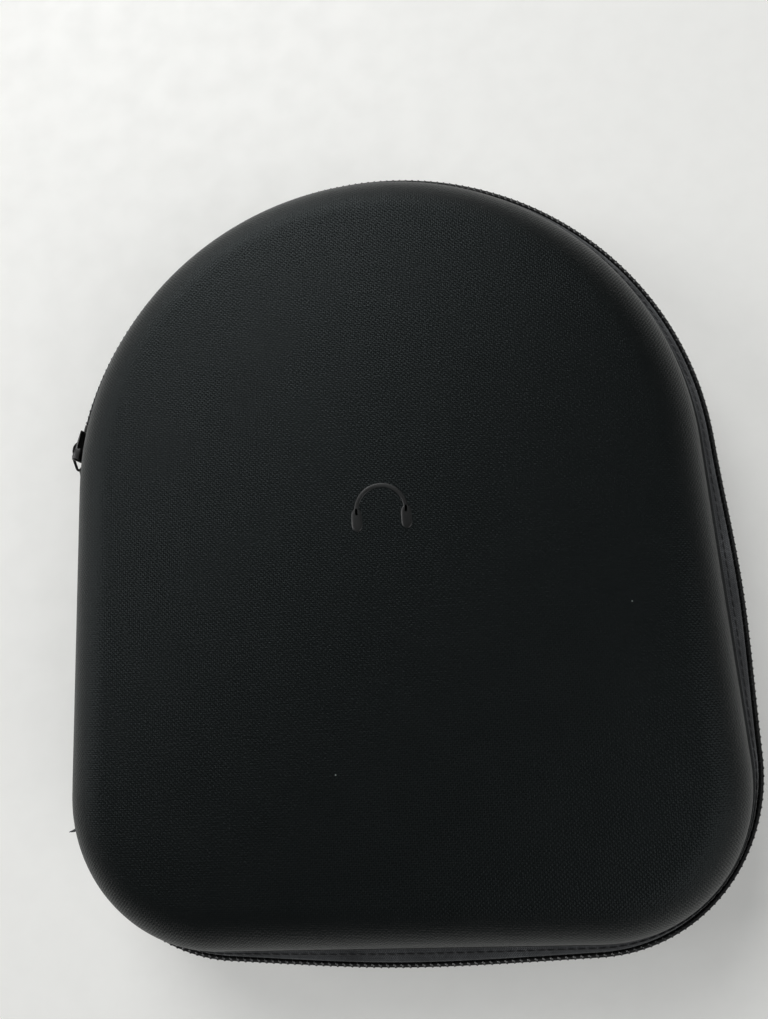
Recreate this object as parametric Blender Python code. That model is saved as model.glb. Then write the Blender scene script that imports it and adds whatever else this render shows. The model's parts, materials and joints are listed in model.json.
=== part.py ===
"""A hard-shell carrying case for over-ear headphones, as separate pieces.

Two D-shaped moulded halves are joined by a fabric spine on the left (-X) and by a coil zip
round the rest of the rim. The case lies on its base. Metres, +Z up, +Y towards the round end,
and the origin is at the middle of the flat underside.
"""

import math

import bmesh
import bpy
from mathutils import Vector

# Outline of both halves, seen from above
ARCH_CENTRE = Vector((0.0, 0.0184))
ARCH_RADIUS = 0.0899
CORNER_RADIUS = 0.0432
CORNER_CENTRE = Vector((0.0488, -0.0644))
ARCH_STEP = 7.5  # degrees of arc for one face
CORNER_STEP = 11.0
SIDE_FACES = 5
FOOT_FACES = 6

# Heights
CASE_HEIGHT = 0.045
ZIP_HEIGHT = CASE_HEIGHT / 2
SHELL_EDGE = 0.006  # height of a half's cut edge above or below the zip
GAP = 0.0003  # clearance between pieces that touch

# Section of the moulded wall
EDGE_INSET = 0.0006
WALL_INSET = 0.0018
FILLET_RADIUS = 0.0149
FILLET_STEPS = 5
FABRIC = 0.0009
BOARD = 0.0028
LINING = 0.0008

# Binding over the cut edge of a half, with a rounded nose
BINDING_LOW = 0.0046
BINDING_HIGH = 0.0057
BINDING_NOSE = 0.0003
BINDING_INNER = -0.0053
BINDING_CHAMFER = 0.0004

# Zip: how far its outer face stands outside the outline, by direction from the middle
ARCH_STAND_OFF = 0.0044
STAND_OFFS = (
    (-141.0, 0.0019),
    (-135.0, 0.0019),
    (-90.0, 0.0060),
    (-45.0, 0.0031),
    (-12.0, 0.0056),
    (16.0, ARCH_STAND_OFF),
    (180.0, ARCH_STAND_OFF),
)
TAPE = 0.0006
TAPE_LEVEL = 0.0037
TAPE_HEM = -0.0045
COIL_LOW = 0.00055
COIL_HIGH = 0.0033
COIL_DEPTH = 0.0016
COIL_CHAMFER = 0.0005
BASE_ZIP_START = 172.0  # degrees about the arch's centre
LID_ZIP_START = 164.3
BASE_ZIP_END = -161.6  # degrees about the left corner's centre
LID_ZIP_END = -154.0
STOP_LENGTH = 0.0022
STOP_RISE = 0.0004

# Folded end of the zip tape, at the lower left
TAIL_ROOT = -166.9  # degrees about the left corner's centre
TAIL_HEADING = -154.0
TAIL_LENGTH = 0.0042
TAIL_WIDTH = 0.0021
TAIL_HALF_HEIGHT = 0.0024
TAIL_SHAPE = ((0.0, 1.0), (0.55, 0.7), (1.0, 0.25))  # part of the length, part of the width
TAIL_TAPER = 0.3

# Fabric spine on the left side, between the two rims
SPINE_START = 174.5  # degrees about the arch's centre
SPINE_END = -173.0  # degrees about the left corner's centre
SPINE_BULGE = 0.0009
SPINE_LINING_INSET = 0.0058
SPINE_LINING_HALF_HEIGHT = 0.0085
HINGE_X = -0.0945

# Slider, bridge and pull, in the slider's own directions: along the zip, outwards and up
SLIDER_ANGLE = 168.9
ZIP_RADIUS = ARCH_RADIUS + ARCH_STAND_OFF
SLIDER_HALF_LENGTH = 0.0042
SLIDER_HALF_HEIGHT = 0.0040
SLIDER_TAIL_HALF_HEIGHT = 0.0033
SLIDER_NOSE = 0.0012
SLIDER_CORNERS = (0.0010, 0.0014)
OUTER_PLATE = (0.0004, 0.0013)  # from the zip's outer face
INNER_PLATE = (-0.0041, -0.0032)
INNER_HALF_HEIGHT = 0.0032
NECK = (-0.0039, -0.0021)
NECK_HALF_HEIGHT = 0.00024
BRIDGE_MIDDLE = -0.0005
BRIDGE_HALF_LENGTH = 0.0026
BRIDGE_HALF_WIDTH = 0.0010
BRIDGE_FOOT = 0.0016
BRIDGE_TOP = 0.0035
BRIDGE_STRIP = 0.00065
BRIDGE_SQUARENESS = 0.7
BRIDGE_STEPS = 10
PULL_ALONG = -0.0008
PULL_OUT = 0.00215
PULL_DROOP = math.radians(40.0)  # how far the pull sags from level, within the bridge's slack
PULL_LEAN = math.radians(7.0)  # how far it leans in against the case
PULL_WIRE = 0.0004
PULL_HALF_WIDTH = 0.0030
PULL_LENGTH = 0.0056
PULL_CORNER = 0.0011
GRIP_REACHES = (0.0064, 0.0088, 0.0144, 0.0214)  # from the wire that hangs in the bridge
GRIP_HALF_WIDTHS = (0.0019, 0.0025, 0.0028, 0.0023)
GRIP_HALF_THICKNESS = (0.0008, 0.00085, 0.0010, 0.0007)
GRIP_SQUARENESS = 0.6


def clear_scene():
    for item in list(bpy.data.objects):
        bpy.data.objects.remove(item, do_unlink=True)


def finish(name, colour, roughness, metallic=0.0):
    material = bpy.data.materials.new(name)
    material.use_nodes = True
    shader = material.node_tree.nodes["Principled BSDF"]
    shader.inputs["Base Color"].default_value = (*colour, 1.0)
    shader.inputs["Roughness"].default_value = roughness
    shader.inputs["Metallic"].default_value = metallic
    return material


def pivot(name, place):
    empty = bpy.data.objects.new(name, None)
    empty.location = place
    empty.empty_display_size = 0.01
    bpy.context.scene.collection.objects.link(empty)
    return empty


def add_piece(name, rings, body, material, closed=False, smooth_angle=40.0):
    """Skin a row of equal rings. A closed row meets itself, and an open one gets end faces."""
    shape = bmesh.new()
    rows = [[shape.verts.new(Vector(p) - body.location) for p in ring] for ring in rings]
    pairs = list(zip(rows, rows[1:]))
    if closed:
        pairs.append((rows[-1], rows[0]))
    else:
        shape.faces.new(rows[0])
        shape.faces.new(rows[-1])
    for near, far in pairs:
        for k, corner in enumerate(near):
            after = (k + 1) % len(near)
            shape.faces.new((corner, near[after], far[after], far[k]))
    bmesh.ops.recalc_face_normals(shape, faces=shape.faces)
    mesh = bpy.data.meshes.new(name)
    shape.to_mesh(mesh)
    shape.free()
    mesh.materials.append(material)
    mesh.shade_smooth()
    mesh.set_sharp_from_angle(angle=math.radians(smooth_angle))
    piece = bpy.data.objects.new(name, mesh)
    piece.parent = body
    bpy.context.scene.collection.objects.link(piece)
    return piece


def towards(angle):
    return Vector((math.cos(math.radians(angle)), math.sin(math.radians(angle))))


def side_angle():
    """Direction in which the straight right side faces, tangent to the arch and the corner."""
    across = CORNER_CENTRE - ARCH_CENTRE
    lean = math.acos((ARCH_RADIUS - CORNER_RADIUS) / across.length)
    return math.degrees(math.atan2(across.y, across.x) + lean)


def arc(centre, radius, start, end, step):
    """Stations along an arc: a point of the outline and the way out from it."""
    count = max(1, math.ceil(abs(end - start) / step))
    angles = [start + (end - start) * k / count for k in range(count + 1)]
    return [(centre + radius * towards(a), towards(a)) for a in angles]


def straight(before, after, count):
    """Stations between the ends of two arcs that share a tangent."""
    (first, out), (last, _) = before[-1], after[0]
    return [(first.lerp(last, k / count), out) for k in range(1, count)]


def zip_side(start, end):
    """Stations from a place on the arch, clockwise past the right side and foot, to the left corner."""
    lean = side_angle()
    left_centre = Vector((-CORNER_CENTRE.x, CORNER_CENTRE.y))
    arch = arc(ARCH_CENTRE, ARCH_RADIUS, start, lean, ARCH_STEP)
    right = arc(CORNER_CENTRE, CORNER_RADIUS, lean, -90.0, CORNER_STEP)
    left = arc(left_centre, CORNER_RADIUS, -90.0, end, CORNER_STEP)
    return [*arch, *straight(arch, right, SIDE_FACES), *right, *straight(right, left, FOOT_FACES), *left]


def whole_outline():
    lean = side_angle()
    stations = zip_side(180.0 - lean, -180.0 - lean)
    return stations + straight([stations[-1]], [stations[0]], SIDE_FACES)


def spine_side():
    """Stations up the left side, from the lower left corner to the foot of the arch."""
    lean = side_angle()
    left_centre = Vector((-CORNER_CENTRE.x, CORNER_CENTRE.y))
    corner = arc(left_centre, CORNER_RADIUS, SPINE_END, -180.0 - lean, CORNER_STEP)
    arch = arc(ARCH_CENTRE, ARCH_RADIUS, 180.0 - lean, SPINE_START, ARCH_STEP)
    return [*corner, *straight(corner, arch, SIDE_FACES), *arch]


def stand_off(point):
    """How far outside the outline the zip's outer face is, eased between the given directions."""
    heading = math.degrees(math.atan2(point.y, point.x))
    if heading < STAND_OFFS[0][0]:
        return STAND_OFFS[0][1] if point.y < 0.0 else ARCH_STAND_OFF
    for (start, low), (end, high) in zip(STAND_OFFS, STAND_OFFS[1:]):
        if start <= heading <= end:
            part = (heading - start) / (end - start)
            return low + (high - low) * part * part * (3.0 - 2.0 * part)
    return ARCH_STAND_OFF


def shell_profile(depth, side):
    """Inset and height along the wall, at a depth under the outer face, from the edge to the flat."""
    bend = CASE_HEIGHT / 2 - FILLET_RADIUS
    points = [(EDGE_INSET + depth, SHELL_EDGE)]
    for k in range(FILLET_STEPS + 1):
        turn = math.radians(90.0 * k / FILLET_STEPS)
        inset = WALL_INSET + FILLET_RADIUS - (FILLET_RADIUS - depth) * math.cos(turn)
        points.append((inset, bend + (FILLET_RADIUS - depth) * math.sin(turn)))
    return [(inset, ZIP_HEIGHT + side * height) for inset, height in points]


def dish(name, outer_depth, thickness, side, body, material):
    """One layer of a moulded half: a thin dish that is open towards the zip."""
    outside = shell_profile(outer_depth, side)
    inside = shell_profile(outer_depth + thickness, side)
    rings = [
        [(*(point - inset * out), height) for point, out in whole_outline()]
        for inset, height in [*outside[::-1], *inside]
    ]
    return add_piece(name, rings, body, material)


def swept(name, stations, section, side, body, material, closed=False):
    """A section of (distance outwards, height from the zip) carried along the stations."""
    rings = [
        [(*(point + across * out), ZIP_HEIGHT + side * height) for across, height in section(point)]
        for point, out in stations
    ]
    return add_piece(name, rings, body, material, closed=closed)


def binding_section(_point):
    chamfered = BINDING_NOSE - BINDING_CHAMFER
    return [
        (BINDING_INNER, BINDING_LOW),
        (chamfered, BINDING_LOW),
        (BINDING_NOSE, BINDING_LOW + BINDING_CHAMFER),
        (BINDING_NOSE, BINDING_HIGH - BINDING_CHAMFER),
        (chamfered, BINDING_HIGH),
        (BINDING_INNER, BINDING_HIGH),
    ]


def tape_section(point):
    """The tape comes out under the binding and turns towards the zip behind the coil."""
    face = stand_off(point) - COIL_DEPTH - GAP
    return [
        (TAPE_HEM, TAPE_LEVEL),
        (face - TAPE, TAPE_LEVEL),
        (face - TAPE, COIL_LOW + GAP),
        (face, COIL_LOW + GAP),
        (face, TAPE_LEVEL + TAPE),
        (TAPE_HEM, TAPE_LEVEL + TAPE),
    ]


def coil_section(point):
    face = stand_off(point)
    back = face - COIL_DEPTH
    return [
        (back, COIL_LOW),
        (face - COIL_CHAMFER, COIL_LOW),
        (face, COIL_LOW + COIL_CHAMFER),
        (face, COIL_HIGH - COIL_CHAMFER),
        (face - COIL_CHAMFER, COIL_HIGH),
        (back, COIL_HIGH),
    ]


def zip_stop(name, centre, radius, angle, side, body, material):
    """A crimped stop just past the end of one coil, a little deeper than the coil."""
    turn = math.degrees(STOP_LENGTH / radius)
    stations = arc(centre, radius, angle, angle + turn, turn)

    def section(point):
        face = stand_off(point)
        back = face - COIL_DEPTH
        return [
            (back, COIL_LOW),
            (face + STOP_RISE, COIL_LOW),
            (face + STOP_RISE, COIL_HIGH),
            (back, COIL_HIGH),
        ]

    return swept(name, stations, section, side, body, material)


def build_half(word, side, zip_start, zip_end, body, materials):
    """The layers, edge binding and zip half of the base (side -1) or the lid (side +1)."""
    board_depth = FABRIC + GAP
    lining_depth = board_depth + BOARD + GAP
    dish(f"{word}_outer_fabric", 0.0, FABRIC, side, body, materials["fabric"])
    dish(f"{word}_foam_board", board_depth, BOARD, side, body, materials["foam"])
    dish(f"{word}_lining", lining_depth, LINING, side, body, materials["lining"])
    swept(f"{word}_edge_binding", whole_outline(), binding_section, side, body,
          materials["binding"], closed=True)
    zip_line = zip_side(zip_start, zip_end)
    swept(f"{word}_zip_tape", zip_line, tape_section, side, body, materials["tape"])
    swept(f"{word}_zip_coil", zip_line, coil_section, side, body, materials["coil"])
    clear = math.degrees(GAP / ARCH_RADIUS)
    zip_stop(f"{word}_zip_top_stop", ARCH_CENTRE, ARCH_RADIUS, zip_start + clear, side,
             body, materials["steel"])
    left_centre = Vector((-CORNER_CENTRE.x, CORNER_CENTRE.y))
    past_end = zip_end - math.degrees((GAP + STOP_LENGTH) / CORNER_RADIUS)
    zip_stop(f"{word}_zip_end_stop", left_centre, CORNER_RADIUS, past_end, side,
             body, materials["steel"])


def build_tail(body, material):
    """The folded end of the zip tape, which sticks out past the lower end of the zip."""
    left_centre = Vector((-CORNER_CENTRE.x, CORNER_CENTRE.y))
    out = towards(TAIL_HEADING)
    along = Vector((-out.y, out.x))
    root = left_centre + (CORNER_RADIUS + STAND_OFFS[0][1]) * towards(TAIL_ROOT)
    rings = []
    for reach, width in TAIL_SHAPE:
        middle = root + reach * TAIL_LENGTH * out
        half = TAIL_WIDTH / 2 * width * along
        height = TAIL_HALF_HEIGHT * (1.0 - TAIL_TAPER * reach)
        rings.append([
            (*(middle - half), ZIP_HEIGHT - height),
            (*(middle + half), ZIP_HEIGHT - height),
            (*(middle + half), ZIP_HEIGHT + height),
            (*(middle - half), ZIP_HEIGHT + height),
        ])
    return add_piece("zip_tape_tail", rings, body, material)


def build_spine(body, materials):
    """The outer spine is turned in under both bindings, and the lining bridges the gap inside."""
    low = TAPE_LEVEL
    high = TAPE_LEVEL + TAPE
    bulge = SPINE_BULGE

    def outer_section(_point):
        outside = [(TAPE_HEM, -high), (bulge - TAPE, -high), (bulge, -low), (bulge + TAPE, 0.0),
                   (bulge, low), (bulge - TAPE, high), (TAPE_HEM, high)]
        inside = [(TAPE_HEM, low), (bulge - 2 * TAPE, low), (bulge - TAPE, low - TAPE),
                  (bulge, 0.0),
                  (bulge - TAPE, TAPE - low), (bulge - 2 * TAPE, -low), (TAPE_HEM, -low)]
        return outside + inside

    def lining_section(_point):
        near = -SPINE_LINING_INSET
        far = near - TAPE
        reach = SPINE_LINING_HALF_HEIGHT
        lean = WALL_INSET
        return [(near - lean, -reach), (near, 0.0), (near - lean, reach),
                (far - lean, reach), (far, 0.0), (far - lean, -reach)]

    swept("spine_fabric", spine_side(), outer_section, 1, body, materials["tape"])
    swept("spine_lining", spine_side(), lining_section, 1, body, materials["lining"])


def slider_place(along, out, up):
    """A point given along the zip, outwards from its outer face, and up from the zip's middle."""
    outwards = towards(SLIDER_ANGLE)
    clockwise = Vector((outwards.y, -outwards.x))
    place = ARCH_CENTRE + (ZIP_RADIUS + out) * outwards + along * clockwise
    return Vector((*place, ZIP_HEIGHT + up))


def plate_rings(outline, depths):
    return [[slider_place(along, depth, up) for along, up in outline] for depth in depths]


def build_slider(body, material):
    """The slider's two plates and the neck between them, as one casting."""
    end = SLIDER_HALF_LENGTH
    nose = end - SLIDER_NOSE
    wide = SLIDER_HALF_HEIGHT
    narrow = SLIDER_TAIL_HALF_HEIGHT
    back, front = wide - SLIDER_CORNERS[0], narrow - SLIDER_CORNERS[1]
    outline = [(-end, -back), (-nose, -wide), (nose, -narrow), (end, -front),
               (end, front), (nose, narrow), (-nose, wide), (-end, back)]
    casting = add_piece("slider_body", plate_rings(outline, OUTER_PLATE), body, material)
    inner_outline = [(along, up * INNER_HALF_HEIGHT / wide) for along, up in outline]
    inner = add_piece("slider_inner_plate", plate_rings(inner_outline, INNER_PLATE), body, material)
    neck_outline = [(NECK[0], -NECK_HALF_HEIGHT), (NECK[1], -NECK_HALF_HEIGHT),
                    (NECK[1], NECK_HALF_HEIGHT), (NECK[0], NECK_HALF_HEIGHT)]
    depths = ((INNER_PLATE[0] + INNER_PLATE[1]) / 2, (OUTER_PLATE[0] + OUTER_PLATE[1]) / 2)
    neck = add_piece("slider_neck", plate_rings(neck_outline, depths), body, material)
    for tool in (neck, inner):
        tool.hide_render = True
        tool.display_type = "WIRE"
        join = casting.modifiers.new(tool.name, "BOOLEAN")
        join.operation = "UNION"
        join.object = tool
    return casting


def build_bridge(body, material):
    """The arched strip on the slider that the pull hangs in."""
    rings = []
    for k in range(BRIDGE_STEPS + 1):
        turn = math.pi * k / BRIDGE_STEPS
        swing = Vector((math.cos(turn), math.sin(turn) ** BRIDGE_SQUARENESS))
        rings.append([
            slider_place(BRIDGE_MIDDLE + swing.x * (BRIDGE_HALF_LENGTH - inset),
                         BRIDGE_FOOT + swing.y * (BRIDGE_TOP - BRIDGE_FOOT - inset), up)
            for inset, up in ((0.0, -BRIDGE_HALF_WIDTH), (0.0, BRIDGE_HALF_WIDTH),
                              (BRIDGE_STRIP, BRIDGE_HALF_WIDTH), (BRIDGE_STRIP, -BRIDGE_HALF_WIDTH))
        ])
    return add_piece("slider_bridge", rings, body, material)


def pull_place(reach, across, rise):
    """A point given along the pull from its pivot, across it along the pivot, and off its face."""
    level = reach * math.cos(PULL_LEAN) + rise * math.sin(PULL_LEAN)
    along = PULL_ALONG - level * math.cos(PULL_DROOP) - across * math.sin(PULL_DROOP)
    up = across * math.cos(PULL_DROOP) - level * math.sin(PULL_DROOP)
    return slider_place(along, PULL_OUT - reach * math.sin(PULL_LEAN) + rise * math.cos(PULL_LEAN), up)


def build_pull(body, materials):
    """The wire loop through the bridge, and the moulded grip past its far end."""
    half = PULL_LENGTH / 2
    rings = []
    for reach_sign, across_sign, first in ((1, 1, 0.0), (-1, 1, 90.0), (-1, -1, 180.0), (1, -1, 270.0)):
        for k in range(4):
            turn = towards(first + 30.0 * k)
            centre = Vector((reach_sign * (half - PULL_CORNER),
                             across_sign * (PULL_HALF_WIDTH - PULL_CORNER)))
            ring = []
            for side in range(8):
                round_wire = PULL_WIRE * towards(45.0 * side + 22.5)
                spot = centre + (PULL_CORNER + round_wire.x) * turn
                ring.append(pull_place(half + spot.x, spot.y, round_wire.y))
            rings.append(ring)
    add_piece("pull_loop", rings, body, materials["steel"], closed=True)
    rings = []
    for reach, width, thickness in zip(GRIP_REACHES, GRIP_HALF_WIDTHS, GRIP_HALF_THICKNESS):
        ring = []
        for side in range(8):
            square = towards(45.0 * side + 22.5)
            across = math.copysign(abs(square.x) ** GRIP_SQUARENESS, square.x) * width
            rise = math.copysign(abs(square.y) ** GRIP_SQUARENESS, square.y) * thickness
            ring.append(pull_place(reach, across, rise))
        rings.append(ring)
    add_piece("pull_grip", rings, body, materials["rubber"])


def main():
    clear_scene()
    materials = {
        "fabric": finish("polyester_cover_fabric", (0.006, 0.008, 0.008), 0.85),
        "foam": finish("eva_foam_board", (0.02, 0.02, 0.022), 0.9),
        "lining": finish("brushed_lining_fabric", (0.012, 0.013, 0.014), 0.95),
        "binding": finish("woven_edge_binding", (0.016, 0.019, 0.02), 0.8),
        "tape": finish("polyester_zip_tape", (0.02, 0.022, 0.024), 0.85),
        "coil": finish("nylon_zip_coil", (0.006, 0.006, 0.006), 0.35),
        "steel": finish("blackened_zinc", (0.03, 0.03, 0.032), 0.4, 0.9),
        "rubber": finish("moulded_pull_rubber", (0.012, 0.012, 0.013), 0.6),
    }
    base = pivot("base_pivot", (0.0, 0.0, 0.0))
    lid = pivot("lid_pivot", (HINGE_X, 0.0, ZIP_HEIGHT))
    slider = pivot("slider_pivot", (*ARCH_CENTRE, ZIP_HEIGHT))
    pull = pivot("pull_pivot", slider_place(PULL_ALONG, PULL_OUT, 0.0))
    build_half("base", -1, BASE_ZIP_START, BASE_ZIP_END, base, materials)
    build_half("lid", 1, LID_ZIP_START, LID_ZIP_END, lid, materials)
    build_spine(base, materials)
    build_tail(base, materials["tape"])
    build_slider(slider, materials["steel"])
    build_bridge(slider, materials["steel"])
    build_pull(pull, materials)


main()
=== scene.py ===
"""Looks of a hard-shell headphone carrying case: two fabric-covered halves, spine, zip and pull."""
import json
import logging
import math
from dataclasses import dataclass, field
from enum import Enum
from typing import Callable, Sequence

import bpy
from mathutils import Matrix, Vector


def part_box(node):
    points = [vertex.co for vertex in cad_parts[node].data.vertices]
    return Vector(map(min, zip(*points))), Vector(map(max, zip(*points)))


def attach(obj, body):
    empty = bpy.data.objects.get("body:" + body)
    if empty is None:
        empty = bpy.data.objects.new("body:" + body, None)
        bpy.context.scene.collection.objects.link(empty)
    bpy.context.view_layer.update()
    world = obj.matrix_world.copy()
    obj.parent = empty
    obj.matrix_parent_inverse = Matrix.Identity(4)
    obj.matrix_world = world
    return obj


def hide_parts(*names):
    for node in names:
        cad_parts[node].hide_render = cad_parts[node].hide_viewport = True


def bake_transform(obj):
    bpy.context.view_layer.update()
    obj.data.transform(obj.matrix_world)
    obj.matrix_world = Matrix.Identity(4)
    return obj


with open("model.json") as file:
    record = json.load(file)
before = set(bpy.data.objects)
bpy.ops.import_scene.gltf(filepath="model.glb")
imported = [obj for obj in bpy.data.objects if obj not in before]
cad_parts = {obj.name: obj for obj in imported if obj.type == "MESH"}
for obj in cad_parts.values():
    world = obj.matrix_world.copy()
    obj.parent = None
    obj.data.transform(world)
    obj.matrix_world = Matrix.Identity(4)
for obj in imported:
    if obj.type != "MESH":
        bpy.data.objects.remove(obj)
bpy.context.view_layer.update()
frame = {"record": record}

LOG = logging.getLogger("carrying_case")
MM = 0.001
GAP = 0.3 * MM  # clearance that touching pieces keep
WELD = 1e-6  # points nearer than this are one
SMOOTH = math.radians(45.0)  # sharper edges than this stay edges
CAST_SMOOTH = math.radians(35.0)
CLOTH_MAP = "cloth"  # UV map in metres over each woven surface

Pair = tuple[float, float]
Section = list[Pair]
Row = list[Vector]
Tree = bpy.types.NodeTree
Socket = bpy.types.NodeSocket
Piece = bpy.types.Object


class Weave(Enum):
    """How the threads of a cloth cross."""

    PLAIN = "plain"
    TWILL = "twill"
    HERRINGBONE = "herringbone"
    BRUSHED = "brushed"


class Half(Enum):
    """The two moulded halves, with the side of the zip that each is on."""

    BASE = -1
    LID = 1

    @property
    def word(self) -> str:
        """The half's body and the first word of its pieces' names."""
        return self.name.lower()


def rgba(code: str) -> tuple[float, float, float, float]:
    """Turn an sRGB hex colour to linear light.

    Args:
        code: six hex digits after a hash.

    Returns:
        Linear red, green, blue and full alpha.
    """
    parts = [int(code[k:k + 2], 16) / 255.0 for k in (1, 3, 5)]
    linear = [c / 12.92 if c <= 0.04045 else ((c + 0.055) / 1.055) ** 2.4 for c in parts]
    return (linear[0], linear[1], linear[2], 1.0)


def put(tree: Tree, kind: str, values: dict | None = None, **traits) -> bpy.types.Node:
    """Add a node with its settings and links.

    Args:
        tree: the material's node tree.
        kind: the node's type name.
        values: what each input holds, a constant or the socket that is linked in.
        traits: the node's own settings.

    Returns:
        The new node.
    """
    node = tree.nodes.new(kind)
    for trait, value in traits.items():
        setattr(node, trait, value)
    for name, value in (values or {}).items():
        if isinstance(value, Socket):
            tree.links.new(value, node.inputs[name])
        else:
            node.inputs[name].default_value = value
    return node


def maths(tree: Tree, operation: str,
          *values: float | Socket) -> Socket:
    """Add a maths node and give its result."""
    return put(tree, "ShaderNodeMath", dict(enumerate(values)), operation=operation).outputs[0]


def noise(tree: Tree, where: Socket, scale: float,
          detail: float) -> Socket:
    """Add a noise node and give its level."""
    return put(tree, "ShaderNodeTexNoise", {"Vector": where, "Scale": scale, "Detail": detail}).outputs[0]


def blended(tree: Tree, kind: str, factor: Socket,
            *sides: Sequence[float] | Socket) -> Socket:
    """Mix two sides.

    Args:
        tree: the material's node tree.
        kind: RGBA for colours, FLOAT for levels.
        factor: how much of the second side shows.
        sides: both sides, each a constant or a socket.

    Returns:
        The socket that holds the mix.
    """
    node = put(tree, "ShaderNodeMix", {"Factor": factor}, data_type=kind)
    sort = "VALUE" if kind == "FLOAT" else kind
    for name, value in zip("AB", sides):
        socket = next(s for s in node.inputs if s.type == sort and s.name == name)
        if isinstance(value, Socket):
            tree.links.new(value, socket)
        else:
            socket.default_value = value
    return next(s for s in node.outputs if s.type == sort)


def started(name: str, constants: dict) -> tuple[bpy.types.Material, Tree, bpy.types.Node]:
    """Start a material and set its shader's constants."""
    made = bpy.data.materials.new(name)
    made.use_nodes = True
    shader = made.node_tree.nodes["Principled BSDF"]
    for trait, value in constants.items():
        shader.inputs[trait].default_value = value
    return made, made.node_tree, shader


@dataclass(frozen=True)
class Cloth:
    """A woven finish, drawn on the cloth's own map so that its threads follow the surface."""

    name: str
    slot: str
    thread: str
    # The colour between the threads: painted shade in the weave's hollows.
    shade: str
    spacing: float
    weave: Weave
    relief: float
    roughness: float = 0.9
    sheen: float = 0.2
    specular: float = 0.25
    mottle: float = 0.25
    lint: float = 0.0
    gloss_tint: str = "#ffffff"
    sheen_tint: str = "#c9cccd"
    sheen_roughness: float = 0.45
    worn_scale: float = 90.0  # worn patches to a metre
    fuzz_scale: float = 0.8  # stray fibres to a thread
    thread_share: float = 0.3  # of the weave in the relief, against the fibres
    bump_strength: float = 0.8
    rib_depth: float = 0.35
    ribs_a_way: float = 3.0  # ribs before a herringbone turns back
    pile_stretch: float = 0.35
    lint_spacing: float = 7.0 * MM
    lint_radius: float = 0.03  # of the spacing
    lint_colour: str = "#7d8482"

    def material(self) -> bpy.types.Material:
        """Build the material: crossing threads with painted shade between them, worn mottling and a soft
        fibre sheen.
        """
        made, tree, shader = started(self.name, {
            "Roughness": self.roughness, "Sheen Weight": self.sheen,
            "Sheen Roughness": self.sheen_roughness, "Sheen Tint": rgba(self.sheen_tint),
            "Specular IOR Level": self.specular, "Specular Tint": rgba(self.gloss_tint)})
        where = put(tree, "ShaderNodeUVMap", uv_map=CLOTH_MAP).outputs[0]
        height = self.threads(tree, where)
        fuzz = noise(tree, where, self.fuzz_scale / self.spacing, 3.0)
        worn = put(tree, "ShaderNodeMapRange",
                   {"Value": noise(tree, where, self.worn_scale, 6.0), "From Min": 0.3, "From Max": 0.7,
                    "To Min": 1.0 - self.mottle, "To Max": 1.0 + self.mottle}).outputs[0]
        # Towards the hollows between the threads the colour falls to the shade colour: painted shade, mixed
        # with random fibre and worn tone.
        level = maths(tree, "MULTIPLY", maths(tree, "MULTIPLY", height, fuzz), worn)
        colour = blended(tree, "RGBA", level, rgba(self.shade), rgba(self.thread))
        if self.lint:
            colour = self.with_lint(tree, where, colour)
        tree.links.new(colour, shader.inputs["Base Color"])
        relief = maths(tree, "MULTIPLY_ADD", height, self.thread_share, fuzz)
        bump = put(tree, "ShaderNodeBump",
                   {"Height": relief, "Strength": self.bump_strength, "Distance": self.relief})
        tree.links.new(bump.outputs[0], shader.inputs["Normal"])
        return made

    def threads(self, tree: Tree, where: Socket) -> Socket:
        """Draw the threads' height, from 0 between threads to 1 on their crowns.

        Args:
            tree: the material's node tree.
            where: the cloth map, in metres.

        Returns:
            The socket that holds the height.
        """
        fine = 1.0 / self.spacing
        if self.weave is Weave.BRUSHED:
            pile = put(tree, "ShaderNodeMapping",
                       {"Vector": where, "Scale": (fine, self.pile_stretch * fine, 1.0)})
            return noise(tree, pile.outputs[0], 1.0, 5.0)
        spread = put(tree, "ShaderNodeVectorMath", {0: where, 1: (fine,) * 3}, operation="MULTIPLY")
        parts = put(tree, "ShaderNodeSeparateXYZ", {0: spread.outputs[0]})
        along, across = parts.outputs[0], parts.outputs[1]
        if self.weave is Weave.HERRINGBONE:
            across = maths(tree, "PINGPONG", across, self.ribs_a_way)
        if self.weave is not Weave.PLAIN:
            along = maths(tree, "ADD", along, across)
        crowns = [maths(tree, "ABSOLUTE", maths(tree, "SINE", maths(tree, "MULTIPLY", line, math.pi)))
                  for line in (along, across)]
        if self.weave is not Weave.PLAIN:
            rib = maths(tree, "MULTIPLY_ADD", crowns[1], self.rib_depth, 1.0 - self.rib_depth)
            return maths(tree, "MULTIPLY", crowns[0], rib)
        cells = put(tree, "ShaderNodeCombineXYZ", {0: along, 1: across, 2: 0.5})
        check = put(tree, "ShaderNodeTexChecker", {"Vector": cells.outputs[0], "Scale": 1.0})
        return blended(tree, "FLOAT", check.outputs["Fac"], *crowns)

    def with_lint(self, tree: Tree, where: Socket,
                  colour: Socket) -> Socket:
        """Scatter a few tiny pale specks of lint over a colour.

        Args:
            tree: the material's node tree.
            where: the cloth map, in metres.
            colour: the cloth's colour so far.

        Returns:
            The colour with its specks.
        """
        cells = put(tree, "ShaderNodeTexVoronoi", {"Vector": where, "Scale": 1.0 / self.lint_spacing})
        near = maths(tree, "LESS_THAN", cells.outputs["Distance"], self.lint_radius)
        chance = put(tree, "ShaderNodeSeparateXYZ", {0: cells.outputs["Color"]})
        few = maths(tree, "LESS_THAN", chance.outputs[0], self.lint)
        return blended(tree, "RGBA", maths(tree, "MULTIPLY", near, few), colour, rgba(self.lint_colour))


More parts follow.
